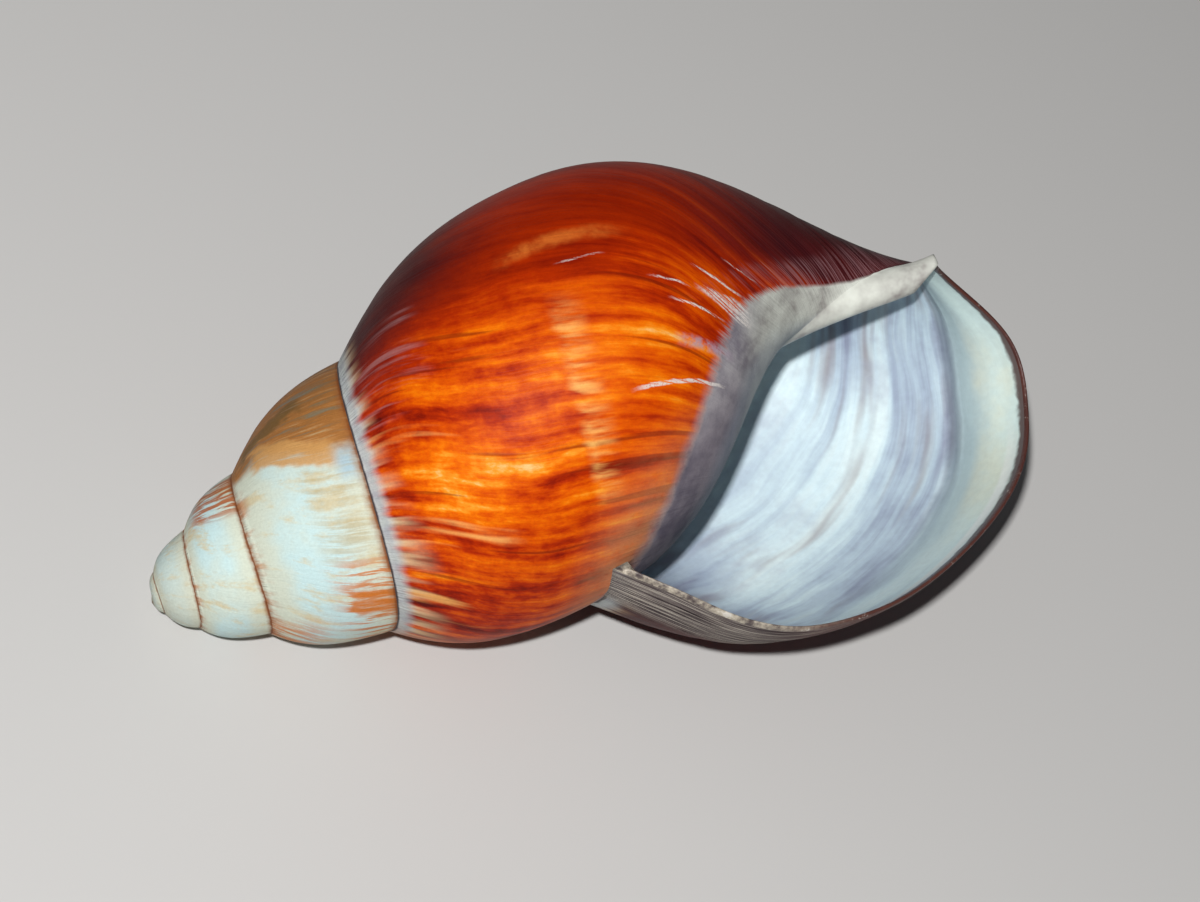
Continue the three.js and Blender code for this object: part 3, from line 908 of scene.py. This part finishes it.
# How far out the glaze reaches: a share of the turns above, and the place there.
GLAZE_EDGE = [
    (0.0, 2.02), (0.104, 1.93), (0.216, 1.75), (0.295, 1.58), (0.380, 1.45), (0.467, 1.38),
    (0.618, 1.27), (0.748, 1.17), (0.855, 1.08), (0.972, 1.0), (1.0, 0.95),
]
HATCH_BAND = (-0.20, -0.02, 0.08)
HATCH_TURNS = (0.70, 0.64)
HATCH_HAIRS = (0.45, 0.62)
HATCH_COLOUR = tint(160, 124, 128)
HALO_EDGE = (-0.3, 0.0)
HALO_TURNS = (0.76, 0.88)
HALO_GAPS = (0.2, 0.6, 0.5, 1)
HALO_COLOUR = tint(196, 140, 98)
GLAZE_SHADES = [tint(92, 86, 100), tint(144, 136, 144)]
GREY_SHADES = [tint(118, 112, 124), tint(184, 180, 182)]
GREY_TURNS = (0.84, 0.74)
BONE_PLACES = (1.42, 1.62)
BONE_HAZE = (130, 4, 0.6)
BONE = [
    (0.30, tint(136, 128, 126)),
    (0.44, tint(188, 188, 180)),
    (0.60, tint(214, 216, 206)),
    (0.8, tint(232, 236, 228)),
]
BORDER_BAND = (0.0, 0.02, 0.02)
BORDER_COLOUR = tint(176, 166, 164)
LIP_SIDE_EDGE = (0.16, 0.30)
LIP_SIDE_TURNS = (0.72, 0.80)
LIP_SIDE_COLOUR = tint(150, 158, 172)


def past_glaze_edge(g, s):
    """How far a place lies past the glaze's edge: a curve of the turn, made ragged by two noises."""
    edge = g.curve(g.step(s.turn, *GLAZE_CURVE_TURNS), GLAZE_EDGE)
    ragged_edge = g.add(edge, g.swing(g.noise(s.body, *GLAZE_RAGGED), 0.07))
    fray = g.times(g.step(s.turn, *GLAZE_FRAY_TURNS), g.step(s.place, *GLAZE_FRAY_PLACES))
    return g.add(g.math("SUBTRACT", s.place, ragged_edge), g.times(g.swing(s.scar_fibres, 0.16), fray))


def glaze_coat(g, s, colour, past_edge, glaze):
    """Hatching and halo outside the edge; inside it grey by turn, bone by place, and a pale border."""
    hatch = g.times(g.band(past_edge, *HATCH_BAND), g.step(s.turn, *HATCH_TURNS))
    hatch = g.times(hatch, g.step(s.hairs, *HATCH_HAIRS))
    colour = g.paint(colour, hatch, 0.5, HATCH_COLOUR)
    halo = g.times(g.step(past_edge, *HALO_EDGE), g.step(s.turn, *HALO_TURNS))
    halo = g.times(halo, g.step(s.mottle, *HALO_GAPS), g.band(s.turn, *GLAZE_TURNS))
    colour = g.paint(colour, halo, 0.7, HALO_COLOUR)
    haze = g.noise(s.body, *BONE_HAZE)
    hazy = g.step(haze, 0.3, 0.7)
    coat = g.mix(g.step(s.turn, *GREY_TURNS), g.mix(hazy, *GLAZE_SHADES), g.mix(hazy, *GREY_SHADES))
    coat = g.mix(g.step(s.place, *BONE_PLACES), coat, g.ramp(haze, BONE))
    border = g.times(g.band(past_edge, *BORDER_BAND), g.step(s.mottle, 0.3, 0.6, 0.3, 1))
    coat = g.paint(coat, border, 0.5, BORDER_COLOUR)
    lip_side = g.times(g.step(past_edge, *LIP_SIDE_EDGE), g.step(s.turn, *LIP_SIDE_TURNS))
    coat = g.paint(coat, lip_side, 0.5, LIP_SIDE_COLOUR)
    return g.mix(glaze, colour, coat)


# Scars and scratches. Old knocks beside the mouth healed white along the growth lines, and a violet bruise
# lies between them.
SCAR_FIBRES = (420, 7.0, 51.0, 3, 0.6)
SCAR_SLANT = 0.09
# Each scar: its middle across the growth lines, its start and end along them, and half its width.
SCARS = [
    (0.754, 1.36, 1.44, 0.0009),
    (0.796, 1.28, 1.36, 0.0008),
    (0.8665, 1.14, 1.34, 0.0011),
    (0.7785, 1.24, 1.26, 0.0006),
    (0.722, 1.46, 1.50, 0.0005),
    (0.7575, 1.06, 1.07, 0.0005),
]
WEDGE_MIDDLE = 0.7745
WEDGE_PLACES = (1.36, 1.48, 0.05)
WEDGE_WIDENING = (1.33, 1.48, 0.001, 0.011)
BRUISE_TURNS = (0.829, 0.833, 0.006)
BRUISE_PLACES = (1.28, 1.38, 0.06)
BRUISE_COLOUR = tint(176, 158, 172)
SCAR_COLOUR = tint(226, 218, 212)


def scar_marks(g, s):
    """The bruise's mask, and the scars' mask: a wedge that widens with place, and narrow bands."""
    line = g.add(g.add(s.growth, g.times(s.place, SCAR_SLANT)), g.swing(s.mottle, 0.004))
    bruise = g.times(g.band(line, *BRUISE_TURNS), g.band(s.place, *BRUISE_PLACES))
    bruise = g.times(bruise, g.step(s.mottle, 0.35, 0.6, 0.0, 0.75))
    off_middle = g.math("ABSOLUTE", g.add(line, -WEDGE_MIDDLE))
    scars = g.step(g.math("SUBTRACT", off_middle, g.step(s.place, *WEDGE_WIDENING)), 0.004, 0.0)
    scars = g.times(scars, g.band(s.place, *WEDGE_PLACES), g.step(s.scar_fibres, 0.42, 0.52))
    scars = g.times(scars, g.step(s.mottle, 0.25, 0.45))
    for middle, start, end, half_width in SCARS:
        mark = g.band(line, middle - half_width, middle + half_width, half_width)
        mark = g.times(mark, g.band(s.place, start, end, 0.05), g.step(s.scar_fibres, 0.36, 0.50))
        scars = g.larger(scars, mark)
    return bruise, g.times(scars, g.step(s.grain, 0.3, 0.5, 0.4, 1.0))


# The outer face's finish. All the marks are laid one over the other as they came about on the real shell,
# then the leafy old lips behind the mouth's edge, a fine grain, and the relief of the growth lines.
# Noises on the body have cells per metre, detail and, where it isn't a half, roughness.
CLOUD = (60, 4, 0.6)
MOTTLE = (500, 4, 0.65)
GRAIN = (2600, 2, 0.6)
PITS = (900, 3, 0.6)
HAIRS = (300, 2.5, 40.0, 3, 0.6)
WORN_FROM = (1.08, 1.30)
LEAVES = (620, 2.4, 2.0, 3, 0.7)
LEAF_GROWTH = (0.075, 0.045)
LEAF_PLACES = (1.15, 0.6)
LEAF_TURNS = (0.6, 0.4)
LEAF_COLOURS = [(0.34, tint(34, 28, 30)), (0.48, tint(104, 94, 94)), (0.60, tint(196, 188, 176))]
LEAF_ROUGHNESS = 0.2
RIDGES = (170, 3, 0.0, 3, 0.5)
FINE_RIDGES = (620, 4.0, 9.0, 2, 0.5)
WRINKLE_PLACES = (0.08, 0.04)
# Relief: height in metres, and strength.
RIDGE_RELIEF = (0.00016, 0.6)
WRINKLE_RELIEF = (0.0004, 0.8)
PIT_RELIEF = (0.00006, 0.5)
SKIN_ROUGHNESS = 0.40
MOTTLED_ROUGHNESS = 0.14
WORN_ROUGHNESS = 0.06
SKIN_SPECULAR = 0.06
SKIN_GRAIN_LEAST = 226


def outer_fields(g):
    """The surface numbers and the noises that several marks of the outer face share."""
    s = SimpleNamespace()
    s.turn, s.place = g.uv("Skin")
    s.growth, _ = g.uv("Growth")
    s.body = g.body()
    s.cloud = g.noise(s.body, *CLOUD)
    s.mottle = g.noise(s.body, *MOTTLE)
    s.grain = g.noise(s.body, *GRAIN)
    s.hairs = g.streaks(s.growth, s.place, HAIRS)
    s.scar_fibres = g.streaks(s.growth, s.place, SCAR_FIBRES)
    s.stain = g.streaks(s.growth, s.place, SPIRE_STAIN)
    s.fibres = g.streaks(s.growth, s.place, SPIRE_FIBRES)
    s.spire_turn = g.add(s.turn, g.swing(s.cloud, 0.10))
    s.mark_turn = g.add(s.spire_turn, g.times(s.place, MARK_SLANT))
    return s


def outer_relief(g, s, leafy, scars):
    """Growth ridges, the wrinkles of the seam band with the leaves, then a fine grain with the scars."""
    ridges = g.streaks(s.growth, s.place, RIDGES)
    fine_ridges = g.streaks(s.growth, s.place, FINE_RIDGES)
    relief = g.bump(g.add(ridges, g.times(fine_ridges, 0.5)), *RIDGE_RELIEF)
    wrinkles = g.times(g.step(s.place, *WRINKLE_PLACES), s.hairs)
    relief = g.bump(g.add(wrinkles, g.times(leafy, 1.5)), *WRINKLE_RELIEF, relief)
    return g.bump(g.add(g.noise(s.body, *PITS), g.times(scars, 1.5)), *PIT_RELIEF, relief)


def outer_material():
    """Streaks, crest, shoulder and seam, then the spire over them, the glaze, scars and old lips."""
    g = Graph("shell_outside")
    s = outer_fields(g)
    colour = rays_and_lines(g, s, streak_colour(g, s))
    colour = shoulder_shade(g, s, crest_wear(g, s, colour))
    colour = seam_band(g, s, colour)
    worn = g.step(g.add(s.turn, g.swing(s.stain, 0.1)), *WORN_FROM)
    colour = g.mix(worn, colour, spire_rust(g, s, spire_marks(g, s, spire_skin(g, s))))
    colour = seam_thread(g, s, colour)
    past_edge = past_glaze_edge(g, s)
    glaze = g.times(g.step(past_edge, *GLAZE_FADE), g.band(s.turn, *GLAZE_TURNS))
    colour = glaze_coat(g, s, colour, past_edge, glaze)
    bruise, scars = scar_marks(g, s)
    colour = g.paint(g.mix(bruise, colour, BRUISE_COLOUR), scars, 0.9, SCAR_COLOUR)
    leaf = g.streaks(s.growth, s.place, LEAVES)
    leaves = g.times(g.step(s.growth, *LEAF_GROWTH), g.step(s.place, *LEAF_PLACES))
    leaves = g.times(leaves, g.step(s.turn, *LEAF_TURNS))
    colour = g.paint(colour, leaves, 0.95, g.ramp(leaf, LEAF_COLOURS))
    roughness = g.add(SKIN_ROUGHNESS, g.times(s.mottle, MOTTLED_ROUGHNESS))
    roughness = g.add(roughness, g.times(g.larger(worn, glaze), WORN_ROUGHNESS))
    roughness = g.add(roughness, g.times(leaves, LEAF_ROUGHNESS))
    relief = outer_relief(g, s, g.times(leaf, leaves), scars)
    return g.finish(g.speckled(colour, s.grain, SKIN_GRAIN_LEAST), roughness, SKIN_SPECULAR, relief)


# The inner face's finish. The real inside is smooth porcelain: bluish white with soft grey growth streaks
# and a pale band that follows the lip, set off by a shallow groove. Painted shade darkens the angle violet,
# painted light brightens the porcelain that faces the lamp, and the lip has a painted highlight and groove
# shade.
INNER_CLOUD = (60, 4, 0.65)
INNER_PITS = (900, 3, 0.6)
INNER_DENTS = (160, 4, 0.6)
INNER_GRAIN_LEAST = 232
GROOVE_RELIEF = (0.00012, 0.5)
DENT_RELIEF = (0.0002, 0.4)
PORCELAIN_ROUGHNESS = 0.34
CLOUDED_ROUGHNESS = 0.15
PORCELAIN_SPECULAR = 0.2
INNER_SWAY = (9, 3, 0.0, 2, 0.5)
INNER_BROAD = (26, 1.3, 4.0, 3, 0.55)
INNER_FINE = (120, 2.6, 8.0, 3, 0.6)
# Painted light: the porcelain is brighter in a band of growth and of places, where it faces the lamp.
INNER_LIT_GROWTH = (0.27, 0.7, 0.12)
INNER_LIT_PLACES = (0.95, 1.25, 0.2)
PORCELAIN = [
    (0.30, tint(126, 126, 148)),
    (0.41, tint(160, 170, 192)),
    (0.51, tint(194, 212, 226)),
    (0.61, tint(224, 244, 250)),
    (0.72, tint(238, 254, 255)),
]
DASHES = (52, 2.4, 15.0, 2, 0.5)
DASH_GROWTH = (0.10, 0.27, 0.08)
DASH_COLOUR = tint(150, 132, 132)
# Painted shade in the inner angle near the seam, where the shadow of the pillar and the glaze falls.
ANGLE_SHADE_PLACES = (0.85, 0.45)
PAINTED_ANGLE_SHADE = tint(62, 60, 80)
VIOLET_GROWTH = (0.12, 0.34, 0.08)
VIOLET_COLOUR = tint(140, 146, 178)
LIP_BAND_GROWTH = (0.072, 0.052)
LIP_BAND_PLACES = (0.9, 1.35)
LIP_BAND_COLOURS = [tint(172, 192, 194), tint(212, 232, 226)]
WARM_GROWTH = (0.012, 0.035, 0.012)
WARM_PLACES = (1.30, 1.60, 0.15)
WARM_COLOUR = tint(228, 218, 180)
# Painted highlight: a thin bright line just inside the lip's edge.
HIGHLIGHT_GROWTH = (0.008, 0.013, 0.004)
HIGHLIGHT_PLACES = (0.8, 1.3, 0.2)
PAINTED_HIGHLIGHT = tint(240, 244, 240)
# Painted shade in the shallow groove behind the lip's pale band.
LIP_GROOVE_GROWTH = (0.064, 0.067, 0.008)
LIP_GROOVE_PLACES = (1.05, 1.4)
LIP_GROOVE_SHADE = tint(84, 90, 108)
BROWN_FLECKS = (420, 3)
BROWN_EDGE = (0.0075, 0.0030)
BROWN_PLACES = (0.6, 0.9)
BROWN_COLOUR = tint(78, 44, 40)


def lip_band(g, place, growth, cloud, body, colour):
    """Pale band, warm tinge, painted highlight, groove with painted shade and brown rim, each a band of
    growth; gives the groove too.
    """
    edge = g.add(growth, g.swing(cloud, 0.012))
    pale = g.times(g.step(edge, *LIP_BAND_GROWTH), g.step(place, *LIP_BAND_PLACES))
    colour = g.paint(colour, pale, 0.85, g.mix(g.step(growth, 0.05, 0.02), *LIP_BAND_COLOURS))
    warm = g.times(pale, g.band(place, *WARM_PLACES), g.band(growth, *WARM_GROWTH))
    colour = g.paint(colour, g.times(warm, g.step(cloud, 0.35, 0.65)), 0.4, WARM_COLOUR)
    # Painted highlight: a thin bright line just inside the lip's edge.
    painted_highlight = g.times(g.band(growth, *HIGHLIGHT_GROWTH), g.band(place, *HIGHLIGHT_PLACES))
    colour = g.paint(colour, painted_highlight, 0.8, PAINTED_HIGHLIGHT)
    # Painted shade: the groove is darkened in colour as well as cut in by the relief.
    groove = g.times(g.band(edge, *LIP_GROOVE_GROWTH), g.step(place, *LIP_GROOVE_PLACES))
    colour = g.paint(colour, groove, 0.5, LIP_GROOVE_SHADE)
    flecked = g.add(growth, g.swing(g.noise(body, *BROWN_FLECKS), 0.008))
    brown = g.times(g.step(flecked, *BROWN_EDGE), g.step(place, *BROWN_PLACES))
    return g.paint(colour, brown, 0.9, BROWN_COLOUR), groove


def inner_material():
    """Two streak noises and a cloud through a ramp, with painted light, then dashes, the angle's painted
    shade and the lip's band.
    """
    g = Graph("shell_inside")
    _, place = g.uv("Skin")
    growth, _ = g.uv("Growth")
    body = g.body()
    line = g.add(growth, g.swing(g.streaks(growth, place, INNER_SWAY), 0.03))
    fine = g.streaks(line, place, INNER_FINE)
    cloud = g.noise(body, *INNER_CLOUD)
    level = g.add(g.times(g.streaks(line, place, INNER_BROAD), 0.75), g.times(fine, 0.25))
    level = g.add(level, g.swing(cloud, 0.35))
    # Painted light: brighter porcelain where the inside faces the lamp.
    level = g.add(level, g.times(g.band(growth, *INNER_LIT_GROWTH), 0.14))
    level = g.add(level, g.times(g.band(place, *INNER_LIT_PLACES), 0.06))
    colour = g.ramp(level, PORCELAIN)
    dashes = g.times(g.step(g.streaks(line, place, DASHES), 0.50, 0.72), g.band(growth, *DASH_GROWTH))
    colour = g.paint(colour, dashes, 0.7, DASH_COLOUR)
    # Painted shade: the low places of the inside are darkened where the pillar's shadow falls.
    angle = g.step(g.add(place, g.swing(cloud, 0.1)), *ANGLE_SHADE_PLACES)
    colour = g.paint(colour, angle, 0.75, PAINTED_ANGLE_SHADE)
    violet = g.times(g.step(cloud, 0.48, 0.7), g.band(growth, *VIOLET_GROWTH))
    colour = g.paint(colour, violet, 0.4, VIOLET_COLOUR)
    colour, groove = lip_band(g, place, growth, cloud, body, colour)
    relief = g.bump(g.add(fine, g.times(groove, -5.0)), *GROOVE_RELIEF)
    relief = g.bump(g.noise(body, *INNER_DENTS), *DENT_RELIEF, relief)
    roughness = g.add(PORCELAIN_ROUGHNESS, g.times(cloud, CLOUDED_ROUGHNESS))
    colour = g.speckled(colour, g.noise(body, *INNER_PITS), INNER_GRAIN_LEAST)
    return g.finish(colour, roughness, PORCELAIN_SPECULAR, relief)


# The pillar's finish. Its free end is bare lime without a glaze, creamy white with grey hazes and a
# slight grain.
PILLAR_GRAIN = (500, 3)
PILLAR_RELIEF = (0.0001, 0.4)
PILLAR_ROUGHNESS = 0.42
PILLAR_SPECULAR = 0.25


def pillar_material():
    """A cloudy noise through the bone colours, with a slight grain."""
    g = Graph("shell_pillar")
    body = g.body()
    grain = g.bump(g.noise(body, *PILLAR_GRAIN), *PILLAR_RELIEF)
    return g.finish(g.ramp(g.noise(body, *BONE_HAZE), BONE), PILLAR_ROUGHNESS, PILLAR_SPECULAR, grain)


# The rim's finish. The bare edge of the lip is dark red-brown horn, chipped to white in places, and grey
# where it nears the seam.
RIM_HORN = [tint(40, 16, 18), tint(104, 56, 44)]
RIM_BARE = [tint(74, 62, 62), tint(186, 176, 158)]
RIM_CHIP = tint(206, 200, 190)
RIM_HORN_PLACES = (0.55, 0.95)
RIM_CHIPS = (420, 4, 0.7)
RIM_CHIP_EDGE = (0.60, 0.68)
RIM_CLOUD = (60, 3, 0.6)
RIM_RELIEF = (0.0004, 0.7)
RIM_ROUGHNESS = 0.5
RIM_SPECULAR = 0.5


def rim_material():
    """Horn from a cloudy noise, bare grey before the crest, and pale chips where a finer noise is high."""
    g = Graph("shell_rim")
    body = g.body()
    _, place = g.uv("Skin")
    chips = g.noise(body, *RIM_CHIPS)
    horn = g.mix(g.noise(body, *RIM_CLOUD), *RIM_HORN)
    bare = g.mix(g.step(chips, 0.35, 0.65), *RIM_BARE)
    colour = g.mix(g.step(place, *RIM_HORN_PLACES), bare, horn)
    colour = g.paint(colour, g.step(chips, *RIM_CHIP_EDGE), 0.85, RIM_CHIP)
    return g.finish(colour, RIM_ROUGHNESS, RIM_SPECULAR, g.bump(chips, *RIM_RELIEF))


for make in (outer_material, inner_material, pillar_material, rim_material):
    shell.data.materials.append(make())

# The floor is a plain pale sheet of paper, wide enough to fill the view. It lies flat at the height where
# the shell rests, and takes its shadow.
FLOOR_HALF = 3.0
FLOOR_COLOUR = (0.56, 0.55, 0.535, 1)
floor_corners = [(a * FLOOR_HALF, b * FLOOR_HALF, 0) for a, b in ((-1, -1), (1, -1), (1, 1), (-1, 1))]
floor_mesh = bpy.data.meshes.new("floor")
floor_mesh.from_pydata(floor_corners, [], [(0, 1, 2, 3)])
floor = bpy.data.objects.new("floor", floor_mesh)
bpy.context.scene.collection.objects.link(floor)
floor_material = bpy.data.materials.new("floor_paper")
floor_material.use_nodes = True
floor_surface = floor_material.node_tree.nodes["Principled BSDF"]
floor_surface.inputs["Base Color"].default_value = FLOOR_COLOUR
floor_surface.inputs["Roughness"].default_value = 0.9
floor_mesh.materials.append(floor_material)

# The camera looks at the mouth side, square to the shell's axis but for a few degrees toward the apex,
# and is rolled so that the axis climbs to the right, as in the photo. Lengths are millimetres.
VIEW_TILT = math.radians(-5.5)
AXIS_CLIMB = math.radians(23.4)
CAMERA_DISTANCE = 600.0
SENSOR_WIDTH = 36
VIEW_WIDTH = 185.6
TILT_CENTRE = 69.6
CENTRE_ALONG = 2.85
CENTRE_ACROSS = 5.9


def turned_to_rest(direction):
    """A direction of the shell's own frame, turned to the rest pose."""
    start, end = to_rest(np.array([[0.0, 0.0, 0.0], direction]))
    return Vector((end - start) / np.linalg.norm(end - start))


along_axis = np.array([math.cos(VIEW_TILT), 0, -math.sin(VIEW_TILT)])
toward_mouth = np.array([0.0, -1.0, 0.0])
toward_camera = np.array([math.sin(VIEW_TILT), 0, math.cos(VIEW_TILT)])
target_mm = np.array([TILT_CENTRE, 0, 0]) + CENTRE_ALONG * along_axis + CENTRE_ACROSS * toward_mouth
target = Vector(to_rest(target_mm))
right = turned_to_rest(math.cos(AXIS_CLIMB) * along_axis + math.sin(AXIS_CLIMB) * toward_mouth)
up = turned_to_rest(math.sin(AXIS_CLIMB) * along_axis - math.cos(AXIS_CLIMB) * toward_mouth)
back = turned_to_rest(toward_camera)
camera_place = target + back * CAMERA_DISTANCE * MM
camera_data = bpy.data.cameras.new("camera")
camera_data.sensor_width = SENSOR_WIDTH
camera_data.lens = SENSOR_WIDTH * CAMERA_DISTANCE / VIEW_WIDTH
camera_data.clip_start = 0.01
camera = bpy.data.objects.new("camera", camera_data)
bpy.context.scene.collection.objects.link(camera)
camera.matrix_world = Matrix((
    (right.x, up.x, back.x, camera_place.x),
    (right.y, up.y, back.y, camera_place.y),
    (right.z, up.z, back.z, camera_place.z),
    (0, 0, 0, 1),
))
bpy.context.scene.camera = camera
bpy.context.scene.view_settings.view_transform = "Standard"

# The light is one small key close to the camera, above it and slightly to its left, which throws the
# narrow dark shadow of the photo, with a wide faint fill and a faint pale sky.
SKY_COLOUR = (0.9, 0.93, 1.0, 1)
SKY_STRENGTH = 0.045


def area_light(name, side, rise, toward, size, power):
    """A square light facing the shell; side, rise and toward are metres along the camera's axes."""
    data = bpy.data.lights.new(name, "AREA")
    data.shape = "SQUARE"
    data.size = size
    data.energy = power
    light = bpy.data.objects.new(name, data)
    bpy.context.scene.collection.objects.link(light)
    place = target + right * side + up * rise + back * toward
    facing = (place - target).to_track_quat("Z", "Y").to_matrix().to_4x4()
    light.matrix_world = Matrix.Translation(place) @ facing


area_light("key", side=-0.022, rise=0.052, toward=0.75, size=0.020, power=6.5)
area_light("fill", side=-0.2, rise=0.4, toward=0.7, size=0.8, power=0.3)
world = bpy.data.worlds.new("studio")
world.use_nodes = True
world.node_tree.nodes["Background"].inputs["Color"].default_value = SKY_COLOUR
world.node_tree.nodes["Background"].inputs["Strength"].default_value = SKY_STRENGTH
bpy.context.scene.world = world
